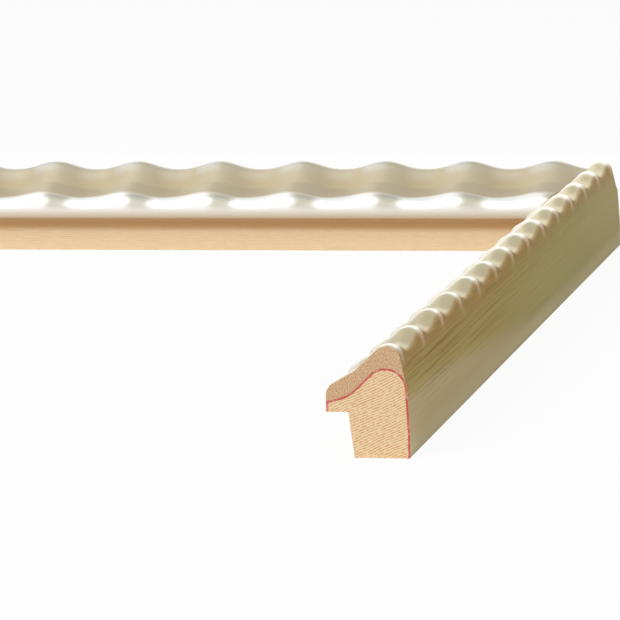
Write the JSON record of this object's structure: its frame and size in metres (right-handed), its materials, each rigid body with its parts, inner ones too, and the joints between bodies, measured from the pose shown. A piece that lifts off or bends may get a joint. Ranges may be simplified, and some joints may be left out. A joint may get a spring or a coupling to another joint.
{
  "type": "picture frame moulding corner",
  "caption": "Mitred corner of a wooden picture frame moulding: rabbeted pine rails with a raised outer edge and a silvered, moulded cap whose rounded waves run across the rail.",
  "frame": {"origin": "bottom centre of the bounding box, on the plane of the rails' backs, which is also on the mitre", "axes": "+Z from the back to the face of the frame, +X along the far rail towards the outer corner, +Y along the near rail towards the outer corner"},
  "size_m": [0.4064, 0.4064, 0.0314],
  "materials": {
    "pine": "bare sawn and planed pine with narrow growth rings",
    "silvered_coat": "thin red coat whose outer face carries the toned silver leaf; its cut edge shows red",
    "silvered_cap": "moulded brown composition of wood flour and glue under toned champagne silver leaf, satin"
  },
  "bodies": {
    "root": {"near_rail_core": "pine", "near_rail_coat": "silvered_coat", "near_rail_cap": "silvered_cap", "far_rail_core": "pine", "far_rail_coat": "silvered_coat", "far_rail_cap": "silvered_cap"}
  },
  "joints": []
}
